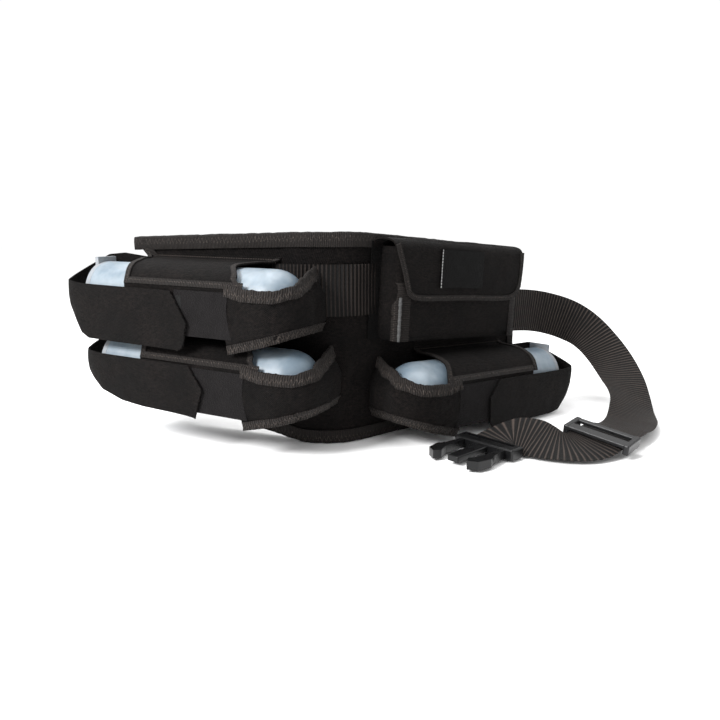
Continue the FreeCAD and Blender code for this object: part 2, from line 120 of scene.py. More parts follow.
class Path:
    """a smooth curve through points in a plane, by arc length"""
    def __init__(self, pts, n=160, smoothing=1):
        P = [Vector((p[0], p[1], 0)) for p in pts]
        out = []
        m = len(P)
        if smoothing:
            for i in range(m - 1):
                p0 = P[max(i - 1, 0)]; p1 = P[i]; p2 = P[i + 1]; p3 = P[min(i + 2, m - 1)]
                # centripetal Catmull-Rom keeps corners tight
                k = max(2, int(n / (m - 1)))
                t0 = 0.0
                t1 = t0 + max((p1 - p0).length, 1e-6) ** 0.5
                t2 = t1 + max((p2 - p1).length, 1e-6) ** 0.5
                t3 = t2 + max((p3 - p2).length, 1e-6) ** 0.5
                for j in range(k):
                    t = t1 + (t2 - t1) * j / k
                    A1 = p0 * ((t1 - t) / (t1 - t0)) + p1 * ((t - t0) / (t1 - t0)) if (p1 - p0).length > 1e-6 else p1
                    A2 = p1 * ((t2 - t) / (t2 - t1)) + p2 * ((t - t1) / (t2 - t1))
                    A3 = p2 * ((t3 - t) / (t3 - t2)) + p3 * ((t - t2) / (t3 - t2)) if (p3 - p2).length > 1e-6 else p2
                    B1 = A1 * ((t2 - t) / (t2 - t0)) + A2 * ((t - t0) / (t2 - t0))
                    B2 = A2 * ((t3 - t) / (t3 - t1)) + A3 * ((t - t1) / (t3 - t1))
                    out.append(B1 * ((t2 - t) / (t2 - t1)) + B2 * ((t - t1) / (t2 - t1)))
            out.append(P[-1])
        else:
            out = P
        self.p = out
        self.l = [0.0]
        for a, b in zip(out, out[1:]):
            self.l.append(self.l[-1] + (b - a).length)
        self.length = self.l[-1]
    def at(self, s):
        s = clamp(s, 0, self.length)
        lo, hi = 0, len(self.l) - 1
        while hi - lo > 1:
            m = (lo + hi) // 2
            if self.l[m] <= s: lo = m
            else: hi = m
        d = self.l[hi] - self.l[lo]
        t = (s - self.l[lo]) / d if d > 0 else 0
        a, b = self.p[lo], self.p[hi]
        q = a.lerp(b, t)
        tg = (b - a).normalized()
        return q.x, q.y, tg.x, tg.y

# ------------------------------------------------------------- mesh maker
def grid(name, P, ns, nt, thick, mat, us=None, both=0.5, wr=0.0, wscale=28.0, seed=0.0, closed=True, edge_keep=True, uv=None, sub=0):
    """a sheet P(s, t) -> Vector in mm for s, t in 0..1, given a thickness; UVs are millimetres along the sheet"""
    pts = [[P(i / ns, j / nt) for j in range(nt + 1)] for i in range(ns + 1)]
    def normal(i, j):
        a = pts[min(i + 1, ns)][j] - pts[max(i - 1, 0)][j]
        b = pts[i][min(j + 1, nt)] - pts[i][max(j - 1, 0)]
        n = a.cross(b)
        return n.normalized() if n.length > 1e-9 else Vector((0, 0, 1))
    N = [[normal(i, j) for j in range(nt + 1)] for i in range(ns + 1)]
    if wr:
        for i in range(ns + 1):
            for j in range(nt + 1):
                e = min(i, ns - i, 6) / 6.0 * min(j, nt - j, 4) / 4.0 if edge_keep else 1.0
                q = pts[i][j] / wscale
                d = fbm(q, seed) * wr * (0.15 + 0.85 * e)
                pts[i][j] = pts[i][j] + N[i][j] * d
        N = [[normal(i, j) for j in range(nt + 1)] for i in range(ns + 1)]
    # arc-length UVs
    U = [[0.0] * (nt + 1) for _ in range(ns + 1)]
    V_ = [[0.0] * (nt + 1) for _ in range(ns + 1)]
    for j in range(nt + 1):
        for i in range(1, ns + 1):
            U[i][j] = U[i - 1][j] + (pts[i][j] - pts[i - 1][j]).length
    for i in range(ns + 1):
        for j in range(1, nt + 1):
            V_[i][j] = V_[i][j - 1] + (pts[i][j] - pts[i][j - 1]).length
    vs, fs, uvs = [], [], []
    def idx(l, i, j):
        return l * (ns + 1) * (nt + 1) + i * (nt + 1) + j
    for l, off in ((0, thick * both), (1, -thick * (1 - both))):
        for i in range(ns + 1):
            for j in range(nt + 1):
                vs.append((pts[i][j] + N[i][j] * off) * 0.001)
    for i in range(ns):
        for j in range(nt):
            q = ((i, j), (i + 1, j), (i + 1, j + 1), (i, j + 1))
            fs.append([idx(0, *c) for c in q]); uvs.append([(U[c[0]][c[1]], V_[c[0]][c[1]]) for c in q])
            q = q[::-1]
            fs.append([idx(1, *c) for c in q]); uvs.append([(U[c[0]][c[1]], V_[c[0]][c[1]]) for c in q])
    ring = [(i, 0) for i in range(ns)] + [(ns, j) for j in range(nt)] + [(i, nt) for i in range(ns, 0, -1)] + [(0, j) for j in range(nt, 0, -1)]
    for a, b in zip(ring, ring[1:] + ring[:1]):
        fs.append([idx(0, *b), idx(0, *a), idx(1, *a), idx(1, *b)])
        uvs.append([(U[b[0]][b[1]], V_[b[0]][b[1]]), (U[a[0]][a[1]], V_[a[0]][a[1]]), (U[a[0]][a[1]], V_[a[0]][a[1]]), (U[b[0]][b[1]], V_[b[0]][b[1]])])
    return mesh(name, vs, fs, uvs, mat)

def mesh(name, vs, fs, uvs, mat, smooth_=True, angle=50):
    me = bpy.data.meshes.new(name)
    me.from_pydata([tuple(v) for v in vs], [], fs)
    if uvs:
        lay = me.uv_layers.new(name="UVMap")
        k = 0
        for poly, uv in zip(me.polygons, uvs):
            for c in uv:
                lay.data[k].uv = (c[0] * 0.001, c[1] * 0.001)
                k += 1
    me.validate()
    ob = bpy.data.objects.new(name, me)
    bpy.context.scene.collection.objects.link(ob)
    bm = bmesh.new(); bm.from_mesh(me)
    bmesh.ops.remove_doubles(bm, verts=bm.verts, dist=1e-6)
    bmesh.ops.recalc_face_normals(bm, faces=bm.faces)
    bm.to_mesh(me); bm.free()
    if smooth_:
        for p in me.polygons:
            p.use_smooth = True
        try:
            me.set_sharp_from_angle(angle=math.radians(angle))
        except Exception:
            pass
    if mat:
        me.materials.append(mat)
    return ob

def join(name, obs):
    bpy.ops.object.select_all(action="DESELECT")
    for o in obs:
        o.select_set(True)
    bpy.context.view_layer.objects.active = obs[0]
    bpy.ops.object.join()
    obs[0].name = name
    obs[0].data.name = name
    return obs[0]

# -------------------------------------------------------------- materials
def new_mat(name):
    m = bpy.data.materials.new(name)
    m.use_nodes = True
    nt = m.node_tree
    nt.nodes.clear()
    out = nt.nodes.new("ShaderNodeOutputMaterial")
    b = nt.nodes.new("ShaderNodeBsdfPrincipled")
    nt.links.new(b.outputs[0], out.inputs[0])
    return m, nt, b

def math_(nt, op, a, b=None, c=None):
    n = nt.nodes.new("ShaderNodeMath")
    n.operation = op
    for i, x in enumerate((a, b, c)):
        if x is None:
            continue
        if isinstance(x, (int, float)):
            n.inputs[i].default_value = x
        else:
            nt.links.new(x, n.inputs[i])
    return n.outputs[0]

def ramp(nt, fac, stops):
    n = nt.nodes.new("ShaderNodeValToRGB")
    e = n.color_ramp.elements
    e[0].position, e[0].color = stops[0][0], (*stops[0][1], 1)
    e[1].position, e[1].color = stops[-1][0], (*stops[-1][1], 1)
    for p, c in stops[1:-1]:
        x = e.new(p); x.color = (*c, 1)
    nt.links.new(fac, n.inputs[0])
    return n.outputs[0]

def mixc(nt, fac, a, b):
    n = nt.nodes.new("ShaderNodeMix")
    n.data_type = "RGBA"
    if isinstance(fac, (int, float)):
        n.inputs[0].default_value = fac
    else:
        nt.links.new(fac, n.inputs[0])
    for k, x in ((6, a), (7, b)):
        if isinstance(x, tuple):
            n.inputs[k].default_value = (*x, 1)
        else:
            nt.links.new(x, n.inputs[k])
    return n.outputs[2]

def noise_(nt, vec, scale, detail=4.0, rough=0.55):
    n = nt.nodes.new("ShaderNodeTexNoise")
    n.inputs["Scale"].default_value = scale
    n.inputs["Detail"].default_value = detail
    n.inputs["Roughness"].default_value = rough
    if vec is not None:
        nt.links.new(vec, n.inputs["Vector"])
    return n.outputs["Fac"]

def uvxy(nt):
    uv = nt.nodes.new("ShaderNodeUVMap")
    sp = nt.nodes.new("ShaderNodeSeparateXYZ")
    nt.links.new(uv.outputs[0], sp.inputs[0])
    return uv.outputs[0], sp.outputs[0], sp.outputs[1]

def wave(nt, x, period):
    """0..1 sine of a coordinate in metres"""
    a = math_(nt, "MULTIPLY", x, 2 * math.pi / period)
    s = math_(nt, "SINE", a)
    return math_(nt, "MULTIPLY_ADD", s, 0.5, 0.5)

def bump(nt, b, h, dist, strength=1.0):
    n = nt.nodes.new("ShaderNodeBump")
    n.inputs["Strength"].default_value = strength
    n.inputs["Distance"].default_value = dist
    nt.links.new(h, n.inputs["Height"])
    nt.links.new(n.outputs[0], b.inputs["Normal"])
    return n

def obj_coord(nt):
    t = nt.nodes.new("ShaderNodeTexCoord")
    return t.outputs["Object"]

def stitch_mask(nt, x, y, lines):
    """lines: (y0, half width, period, duty, zigzag amplitude), metres"""
    tot = None
    for y0, hw, per, duty, amp in lines:
        yy = math_(nt, "SUBTRACT", y, y0)
        if amp:
            f = math_(nt, "FRACT", math_(nt, "DIVIDE", x, per))
            tri = math_(nt, "ABSOLUTE", math_(nt, "MULTIPLY_ADD", f, 2.0, -1.0))
            yy = math_(nt, "SUBTRACT", yy, math_(nt, "MULTIPLY_ADD", tri, 2 * amp, -amp))
            m = math_(nt, "LESS_THAN", math_(nt, "ABSOLUTE", yy), hw)
        else:
            f = math_(nt, "FRACT", math_(nt, "DIVIDE", x, per))
            d = math_(nt, "LESS_THAN", f, duty)
            m = math_(nt, "MULTIPLY", d, math_(nt, "LESS_THAN", math_(nt, "ABSOLUTE", yy), hw))
        tot = m if tot is None else math_(nt, "MAXIMUM", tot, m)
    return tot

def nylon(name, col=(0.0022, 0.0017, 0.0016), hi=(0.0150, 0.0114, 0.0104), stitches=None, scol=(0.045, 0.037, 0.033), weave=0.0017, rough=0.66, bumpd=0.0006, sheen=0.012):
    m, nt, b = new_mat(name)
    uv, x, y = uvxy(nt)
    oc = obj_coord(nt)
    wx, wy = wave(nt, x, weave), wave(nt, y, weave)
    weft = math_(nt, "MULTIPLY", wx, wy)
    warp = math_(nt, "MULTIPLY", math_(nt, "SUBTRACT", 1.0, wx), math_(nt, "SUBTRACT", 1.0, wy))
    h = math_(nt, "ADD", weft, warp)
    big = noise_(nt, oc, 26.0, 5.0, 0.6)
    fine = noise_(nt, oc, 900.0, 2.0, 0.5)
    c1 = ramp(nt, big, [(0.3, col), (0.72, hi)])
    speck = noise_(nt, oc, 520.0, 2.0, 0.6)
    # slubs: short thick places in the yarn, longer one way than the other
    cmb = nt.nodes.new("ShaderNodeCombineXYZ")
    nt.links.new(math_(nt, "MULTIPLY", x, 0.34), cmb.inputs[0])
    nt.links.new(y, cmb.inputs[1])
    slub = noise_(nt, cmb.outputs[0], 560.0, 2.0, 0.6)
    grain = math_(nt, "MULTIPLY_ADD", math_(nt, "ADD", speck, slub), 2.3, -1.75)
    dark = math_(nt, "MULTIPLY", math_(nt, "MULTIPLY_ADD", h, 0.55, 0.35), grain)
    dk = nt.nodes.new("ShaderNodeClamp")
    nt.links.new(dark, dk.inputs[0])
    dark = dk.outputs[0]
    c2 = mixc(nt, dark, tuple(k * 0.35 for k in col), c1)
    if stitches:
        s = stitch_mask(nt, x, y, stitches)
        c2 = mixc(nt, s, c2, scol)
        hh = math_(nt, "ADD", math_(nt, "MULTIPLY", h, 0.6), math_(nt, "MULTIPLY", s, 2.2))
    else:
        hh = h
    hh = math_(nt, "ADD", hh, math_(nt, "MULTIPLY", fine, 0.5))
    hh = math_(nt, "ADD", hh, math_(nt, "MULTIPLY", slub, 1.6))
    nt.links.new(c2, b.inputs["Base Color"])
    r = math_(nt, "MULTIPLY_ADD", big, 0.22, rough - 0.11)
    nt.links.new(r, b.inputs["Roughness"])
    b.inputs["Specular IOR Level"].default_value = 0.06
    b.inputs["Sheen Weight"].default_value = sheen
    b.inputs["Sheen Roughness"].default_value = 0.5
    bump(nt, b, hh, bumpd, 0.9)
    return m

def tape(name, col=(0.0045, 0.0038, 0.0036), hi=(0.0190, 0.0145, 0.0125), rib=0.0017, stitches=None, scol=(0.052, 0.042, 0.036), rough=0.66, along="x"):
    """grosgrain binding: cross ribs, with a zigzag or a run of stitches"""
    m, nt, b = new_mat(name)
    uv, x, y = uvxy(nt)
    oc = obj_coord(nt)
    k = wave(nt, x if along == "x" else y, rib)
    n1 = noise_(nt, oc, 60.0, 4.0, 0.6)
    n2 = noise_(nt, oc, 700.0, 2.0, 0.5)
    f = math_(nt, "MULTIPLY", k, math_(nt, "MULTIPLY_ADD", n1, 0.9, 0.25))
    c = mixc(nt, f, col, hi)
    h = math_(nt, "ADD", k, math_(nt, "MULTIPLY", n2, 0.4))
    if stitches:
        fray = noise_(nt, oc, 420.0, 3.0, 0.7)
        xs = math_(nt, "ADD", x, math_(nt, "MULTIPLY_ADD", n2, 0.0026, -0.0013))
        ys = math_(nt, "ADD", y, math_(nt, "MULTIPLY_ADD", fray, 0.0044, -0.0022))
        s = stitch_mask(nt, xs, ys, stitches)
        s = math_(nt, "MULTIPLY", s, math_(nt, "GREATER_THAN", n2, 0.44))
        c = mixc(nt, s, c, scol)
        h = math_(nt, "ADD", h, math_(nt, "MULTIPLY", s, 1.5))
        h = math_(nt, "ADD", h, math_(nt, "MULTIPLY", fray, 1.2))
    nt.links.new(c, b.inputs["Base Color"])
    nt.links.new(math_(nt, "MULTIPLY_ADD", n1, 0.25, rough - 0.12), b.inputs["Roughness"])
    b.inputs["Specular IOR Level"].default_value = 0.14
    b.inputs["Sheen Weight"].default_value = 0.02
    bump(nt, b, h, 0.0006, 1.0)
    return m

def fuzz(name, col, hi, scale=1400.0, dist=0.0006):
    m, nt, b = new_mat(name)
    oc = obj_coord(nt)
    a = noise_(nt, oc, scale, 3.0, 0.7)
    v = nt.nodes.new("ShaderNodeTexVoronoi")
    v.inputs["Scale"].default_value = scale * 0.6
    nt.links.new(oc, v.inputs["Vector"])
    big = noise_(nt, oc, 60.0, 3.0)
    f = math_(nt, "MULTIPLY", a, math_(nt, "MULTIPLY_ADD", big, 0.8, 0.3))
    nt.links.new(mixc(nt, f, col, hi), b.inputs["Base Color"])
    nt.links.new(math_(nt, "MULTIPLY_ADD", a, 0.15, 0.82), b.inputs["Roughness"])
    b.inputs["Specular IOR Level"].default_value = 0.08
    b.inputs["Sheen Weight"].default_value = 0.03
    bump(nt, b, math_(nt, "ADD", a, v.outputs["Distance"]), dist, 1.0)
    return m

def plastic(name, col, hi, rough=0.38):
    m, nt, b = new_mat(name)
    oc = obj_coord(nt)
    a = noise_(nt, oc, 120.0, 4.0)
    f = noise_(nt, oc, 2200.0, 2.0)
    nt.links.new(mixc(nt, a, col, hi), b.inputs["Base Color"])
    nt.links.new(math_(nt, "MULTIPLY_ADD", a, 0.2, rough - 0.1), b.inputs["Roughness"])
    b.inputs["Specular IOR Level"].default_value = 0.28
    bump(nt, b, f, 0.00006, 0.7)
    return m

def pod_mat(name, lid=False):
    m, nt, b = new_mat(name)
    oc = obj_coord(nt)
    a = noise_(nt, oc, 22.0, 4.0, 0.6)
    f = noise_(nt, oc, 1500.0, 2.0)
    sc = noise_(nt, oc, 240.0, 6.0, 0.7)
    if lid:
        c = ramp(nt, a, [(0.3, (0.20, 0.22, 0.24)), (0.7, (0.34, 0.36, 0.385))])
    else:
        c = ramp(nt, a, [(0.3, (0.105, 0.15, 0.195)), (0.5, (0.19, 0.245, 0.295)), (0.7, (0.35, 0.405, 0.45))])
    nt.links.new(c, b.inputs["Base Color"])
    nt.links.new(math_(nt, "MULTIPLY_ADD", sc, 0.3, 0.28), b.inputs["Roughness"])
    b.inputs["Subsurface Weight"].default_value = 0.25
    b.inputs["Subsurface Radius"].default_value = (0.004, 0.006, 0.008)
    b.inputs["Transmission Weight"].default_value = 0.30
    b.inputs["IOR"].default_value = 1.45
    bump(nt, b, math_(nt, "ADD", f, math_(nt, "MULTIPLY", sc, 0.6)), 0.00008, 0.6)
    return m

M = {}
M["nylon"] = nylon("nylon_plain")
M["nylon_seam"] = nylon("nylon_seam", stitches=[(0.0022, 0.00035, 0.0028, 0.62, 0), (0.0068, 0.00035, 0.0028, 0.62, 0)])
M["nylon_in"] = nylon("nylon_back", col=(0.003, 0.0027, 0.0027), hi=(0.006, 0.0055, 0.0055))
M["bind"] = tape("binding_zigzag", stitches=[(0.0062, 0.00045, 0.0034, 1.0, 0.0021)])
M["bind_body"] = tape("binding_body", stitches=[(0.0080, 0.0005, 0.0042, 1.0, 0.0026)])
M["bind_plain"] = tape("binding_plain", stitches=[(0.0035, 0.00035, 0.0026, 0.6, 0)])
M["cupbind"] = tape("cup_binding", col=(0.0045, 0.0038, 0.0036), hi=(0.0220, 0.0170, 0.0145), rib=0.0024, stitches=[(0.0045, 0.0006, 0.0044, 1.0, 0.0022)])
M["loop"] = fuzz("loop_fuzz", (0.0018, 0.0016, 0.0017), (0.014, 0.012, 0.0125))
M["hook"] = fuzz("hook_bristle", (0.004, 0.004, 0.004), (0.018, 0.018, 0.018), scale=1000.0)
M["plastic"] = plastic("buckle_black", (0.0020, 0.0020, 0.0022), (0.0060, 0.0060, 0.0064), 0.30)
M["pod"] = pod_mat("pod_frosted")
M["lid"] = pod_mat("lid_frosted", lid=True)
M["piping"] = tape("piping_grey", col=(0.045, 0.045, 0.045), hi=(0.15, 0.15, 0.15), rib=0.0012)
M["label"] = nylon("label_weave", col=(0.0012, 0.0012, 0.0013), hi=(0.0040, 0.0038, 0.0040), weave=0.0008, rough=0.5, stitches=[(0.0012, 0.0006, 0.0030, 0.7, 0)], scol=(0.42, 0.42, 0.42))
M["satin"] = plastic("slide_satin", (0.006, 0.006, 0.0065), (0.018, 0.018, 0.019), 0.30)

def webbing_mat(name, rib=0.0036, light=(0.088, 0.068, 0.058), dark=(0.0022, 0.0019, 0.0019)):
    """heavy ribbed webbing: narrow light weft ribs over a dark ground"""
    m, nt, b = new_mat(name)
    uv, x, y = uvxy(nt)
    oc = obj_coord(nt)
    n0 = noise_(nt, oc, 90.0, 4.0, 0.6)
    xs = math_(nt, "ADD", x, math_(nt, "MULTIPLY", n0, 0.0006))
    w = wave(nt, xs, rib)
    peak = math_(nt, "POWER", w, 5.0)
    yb = wave(nt, y, 0.0011)
    f = math_(nt, "MULTIPLY", peak, math_(nt, "MULTIPLY_ADD", yb, 0.35, 0.65))
    f = math_(nt, "MULTIPLY", f, math_(nt, "MULTIPLY_ADD", n0, 1.1, 0.15))
    c = mixc(nt, f, dark, light)
    nt.links.new(c, b.inputs["Base Color"])
    nt.links.new(math_(nt, "MULTIPLY_ADD", n0, 0.3, 0.5), b.inputs["Roughness"])
    b.inputs["Specular IOR Level"].default_value = 0.15
    b.inputs["Sheen Weight"].default_value = 0.02
    bump(nt, b, math_(nt, "ADD", w, math_(nt, "MULTIPLY", yb, 0.3)), 0.0008, 1.0)
    return m
M["web"] = webbing_mat("webbing_ribbed")
def elastic_mat():
    m, nt, b = new_mat("elastic_ribbed")
    uv, x, y = uvxy(nt)
    oc = obj_coord(nt)
    w = wave(nt, x, 0.0042)
    fine = wave(nt, y, 0.0012)
    n0 = noise_(nt, oc, 70.0, 3.0)
    f = math_(nt, "MULTIPLY", math_(nt, "POWER", w, 2.0), math_(nt, "MULTIPLY_ADD", fine, 0.4, 0.5))
    nt.links.new(mixc(nt, f, (0.0018, 0.0016, 0.0016), (0.026, 0.020, 0.0175)), b.inputs["Base Color"])
    nt.links.new(math_(nt, "MULTIPLY_ADD", n0, 0.25, 0.55), b.inputs["Roughness"])
    b.inputs["Specular IOR Level"].default_value = 0.12
    bump(nt, b, math_(nt, "ADD", w, math_(nt, "MULTIPLY", fine, 0.2)), 0.0011, 1.0)
    return m
M["elastic"] = elastic_mat()
def mesh_mat():
    m, nt, b = new_mat("lining_spacer")
    uv, x, y = uvxy(nt)
    oc = obj_coord(nt)
    v = nt.nodes.new("ShaderNodeTexVoronoi")
    v.inputs["Scale"].default_value = 380.0
    nt.links.new(uv, v.inputs["Vector"])
    n0 = noise_(nt, oc, 30.0, 4.0)
    nt.links.new(mixc(nt, v.outputs["Distance"], (0.003, 0.003, 0.0035), (0.035, 0.034, 0.036)), b.inputs["Base Color"])
    nt.links.new(math_(nt, "MULTIPLY_ADD", n0, 0.25, 0.6), b.inputs["Roughness"])
    bump(nt, b, v.outputs["Distance"], 0.0012, 1.0)
    return m
M["lining"] = mesh_mat()

# ---------------------------------------------------------------- camera
cam_d = bpy.data.cameras.new("camera")
cam = bpy.data.objects.new("camera", cam_d)
bpy.context.scene.collection.objects.link(cam)
bpy.context.scene.camera = cam
cam_d.lens = 33.03
cam_d.sensor_width = 36.0
cam_d.clip_start = 0.01
cam.location = (0.022796, -0.676485, 0.203478)
cam.rotation_euler = (math.radians(90 - 11.0), 0, 0)

# ---------------------------------------------------------------- strap
ROUTE = [(205.0, 176.2, 111.5), (227, 194, 110), (253, 207, 105.5), (282, 212, 97), (306, 207, 84), (324, 186, 62),
         (331, 154, 41), (329, 114, 23), (319, 76, 10.5), (298, 38, 9), (274, 12, 14), (252, -11, 14), (235, -26, 9.5),
         (216, -29, 10), (198, -23, 12.5), (181, -9, 14.5), (164, -2, 11), (150, -13, 7.5)]
WDIR = [(0, 0, 1), (0, 0, 1), (.02, .02, 1), (.06, .10, 1), (12, 22, 40), (18, 34, 34), (22, 40, 24), (26, 40, 10), (30, 34, 3),
        (40, 12, -2), (44, -16, -5), (.855, -.484, -.10), (.62, -.78, -.18), (.10, -.98, -.22), (-.10, -.93, -.36),
        (-.2, -.8, -.45), (.677, -.736, 0), (.677, -.736, 0)]
def spline_points(points, res=24):
    cu = bpy.data.curves.new("route_tmp", "CURVE")
    cu.dimensions = "3D"
    sp = cu.splines.new("NURBS")
    sp.points.add(len(points) - 1)
    for p, q in zip(sp.points, points):
        p.co = (*q, 1)
    sp.order_u = 3
    sp.use_endpoint_u = True
    sp.resolution_u = res
    ob = bpy.data.objects.new("route_tmp", cu)
    bpy.context.scene.collection.objects.link(ob)
    dg = bpy.context.evaluated_depsgraph_get()
    me = bpy.data.meshes.new_from_object(ob.evaluated_get(dg))
    out = [v.co.copy() for v in me.vertices]
    bpy.data.objects.remove(ob)
    bpy.data.curves.remove(cu)
    bpy.data.meshes.remove(me)
    return out

def ribbon():
    pts = spline_points([((Vector(p) + SH) * 0.001) for p in ROUTE])
    wds = spline_points([Vector(w).normalized() for w in WDIR])
    n = len(pts)
    L = [0.0]
    for a, b in zip(pts, pts[1:]):
        L.append(L[-1] + (b - a).length)
    hw, th = 0.025, 0.0009
    across = 10
    vs, fs, uvs = [], [], []
    rows = []
    for i in range(n):
        t = (pts[min(i + 1, n - 1)] - pts[max(i - 1, 0)]).normalized()
        w = wds[i] - t * wds[i].dot(t)
        w.normalize()
        nn = t.cross(w)
        prof = []
        for k in range(across + 1):
            x = -1 + 2 * k / across
            e = 1.0 - 0.55 * abs(x) ** 10
            prof.append((x, th * e))
        row = []
        for x, h in prof:
            row.append((pts[i] + w * (hw * x) + nn * h, x))
        for x, h in reversed(prof):
            row.append((pts[i] + w * (hw * x) - nn * h, x))
        rows.append(row)
    m = len(rows[0])
    for r in rows:
        for p, x in r:
            vs.append(p)
    for i in range(n - 1):
        for k in range(m):
            k2 = (k + 1) % m
            fs.append([i * m + k, i * m + k2, (i + 1) * m + k2, (i + 1) * m + k])
            xa, xb = rows[i][k][1], rows[i][k2][1]
            ya, yb = (xa + 1) * hw, (xb + 1) * hw
            uvs.append([(L[i] * 1000, ya * 1000), (L[i] * 1000, yb * 1000), (L[i + 1] * 1000, yb * 1000), (L[i + 1] * 1000, ya * 1000)])
    fs.append(list(range(m))[::-1]); uvs.append([(0, 0)] * m)
    fs.append([(n - 1) * m + k for k in range(m)]); uvs.append([(0, 0)] * m)
    ob = mesh("strap_webbing", vs, fs, uvs, M["web"], angle=60)
    return ob, pts, L[-1]

strap, strap_pts, strap_len = ribbon()
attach(strap, "belt")
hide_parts("waist_strap")
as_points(strap_pts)
print("strap length", strap_len)

# ---------------------------------------------------------------- body
def body_top(s):
    if s <= 0:
        return 202.0 + (197.2 - 202.0) / (233.0 - T0) * (-s)
    if s <= ARC:
        return 202.0
    u = s - ARC + T0
    return interp([(T0, 202.0), (156, 193.0), (268, 180.0)], u)
def body_bot(s):
    if s <= 0:
        return 1.2 + (30.0 - 1.2) / (200 - T0) * (-s)
    return 1.2
def left_u(z):
    return interp([(30.0, 200.0), (168.0, 205.0), (197.2, 233.0)], z)
def body_pt(s01, t01, v):
    # the left end is slanted: its u depends on the height
    z0 = lerp(30.0, 197.2, t01)
    sl = s_of("L", left_u(z0))
    sr = s_of("R", 268.0)
    s = lerp(sl, sr, s01)
    z = lerp(body_bot(max(s, s_of("L", 200.0))) if s < 0 else 1.2, body_top(s), t01)
    return s, z
def soft_bulge(s, z):
    """how far the outer face puffs out: soft panel at the bend, pulled in below the elastic"""
    d = 0.0
    m = (s - ARC * 0.55) / 42.0
    g = math.exp(-m * m)
    d += g * (2.2 * math.sin(clamp((z - 14) / 105.0) * math.pi))
    # the long soft wrinkle low on the bend
    x = (s - ARC * 0.62) - (z - 55) * 0.22
    d += 3.0 * math.exp(-(x / 7.0) ** 2) * smooth((z - 8) / 20) * smooth((112 - z) / 40)
    d -= 2.2 * math.exp(-((x - 13) / 8.0) ** 2) * smooth((z - 8) / 20) * smooth((105 - z) / 40)
    x = (s - ARC * 0.28) + (z - 60) * 0.12
    d += 1.4 * math.exp(-(x / 9.0) ** 2) * smooth((z - 10) / 20) * smooth((110 - z) / 40)
    return d
def body_outer(a, t):
    s, z = body_pt(a, t, 0)
    return BODY(s, 0.0 + soft_bulge(s, z) * (0.75) - 0.6, z)
outer = grid("body_outer", body_outer, 220, 60, 1.6, M["nylon"], both=0.0, wr=0.55, wscale=34.0, seed=1.0)
def body_inner(a, t):
    s, z = body_pt(1 - a, t, 0)
    e = min(a, 1 - a) * 40
    q = math.sin(clamp(t) * math.pi) ** 0.5 if 0 < t < 1 else 0
    return BODY(s, -9.0 - 1.4 * q * clamp(e), z)
inner = grid("body_lining", body_inner, 180, 46, 1.4, M["lining"], both=0.0, wr=0.5, wscale=40.0, seed=2.0)
def body_mid(a, t):
    s, z = body_pt(a, t, 0)
    z = lerp(z, 100, 0.004)
    return BODY(s, -4.8, z)
foam = grid("body_foam", body_mid, 120, 20, 6.2, M["nylon_in"], both=0.5)
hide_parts("outer_panel"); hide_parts("lining_panel"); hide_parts("foam_core")
for o, sl in ((outer, "nylon"), (inner, "lining"), (foam, "foam")):
    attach(o, "belt")

def binding_strip(name, node, pathf, n, half, mat, legs=13.0, thick=1.1, wob=0.5, seed=0.0, body="belt", zmax=None):
    """a tape folded over an edge: pathf(a) -> (edge point, out vector, down vector, thickness of the edge)"""
    prof = []
    k = 26
    def P(a, t):
        e, o, d, th = pathf(a)
        # t runs down the outer leg, over the edge, down the inner leg
        L1 = legs
        tot = 2 * L1 + th + 2 * half
        x = t * tot
        q = e
        if x < L1:
            off = half + 0.35 * math.sin(math.pi * x / L1)
            return e + o * (off) + d * (L1 - x)
        x -= L1
        r = (th + 2 * half)
        if x < r:
            ang = math.pi * x / r
            return e + o * (-th / 2 + (th / 2 + half) * math.cos(ang)) - d * (0.9 * math.sin(ang))
        x -= r
        return e + o * (-th - half) + d * x
    def PC(a, t):
        q = P(a, t)
        if zmax is not None:
            q.z = min(q.z, zmax)
        return q
    ob = grid(name, PC, n, k, thick, mat, both=0.5, wr=wob, wscale=10.0, seed=seed, edge_keep=False)
    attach(ob, body)
    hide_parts(node)
    return ob

def top_edge(a):
    s = lerp(s_of("L", 233.0), s_of("R", 268.0), a)
    z = body_top(s)
    p = BODY(s, 0, z); q = BODY(s, -9.2, z)
    o = (p - q).normalized()
    return p, o, Vector((0, 0, -1)), 9.2
binding_strip("binding_top_tape", "binding_top", top_edge, 260, 0.7, M["bind_body"], legs=12.5, seed=3.0)
def bot_edge(a):
    s = lerp(s_of("L", 200.0), s_of("R", 268.0), a)
    z = body_bot(s) if s < 0 else 1.2
    z += 0.3
    p = BODY(s, 0, z); q = BODY(s, -9.2, z)
    return p, (p - q).normalized(), Vector((0, 0, 1)), 9.2
binding_strip("binding_bottom_tape", "binding_bottom", bot_edge, 240, 0.7, M["bind_body"], legs=12.0, seed=4.0)
def left_edge(a):
    z = lerp(30.0, 197.2, a)
    u = left_u(z)
    u2 = left_u(z + 1.0); u1 = left_u(z - 1.0)
    tg = Vector((u2 - u1, 2.0)).normalized()
    p = W("L", u, 0, z)
    inward = dL * (-tg.y) + Vector((0, 0, 1)) * (tg.x)
    return p, nL, inward.normalized(), 9.2
binding_strip("binding_left_tape", "binding_end_left", left_edge, 120, 0.75, M["bind_body"], legs=10.0, seed=5.0, wob=0.35, zmax=196.4)
def right_edge(a):
    z = lerp(1.6, 179.6, a)
    p = W("R", 268.0, 0, z)
    return p, nR, -dR, 9.2
binding_strip("binding_right_tape", "binding_end_right", right_edge, 120, 0.75, M["bind_body"], legs=10.0, seed=6.0, wob=0.35, zmax=179.6)

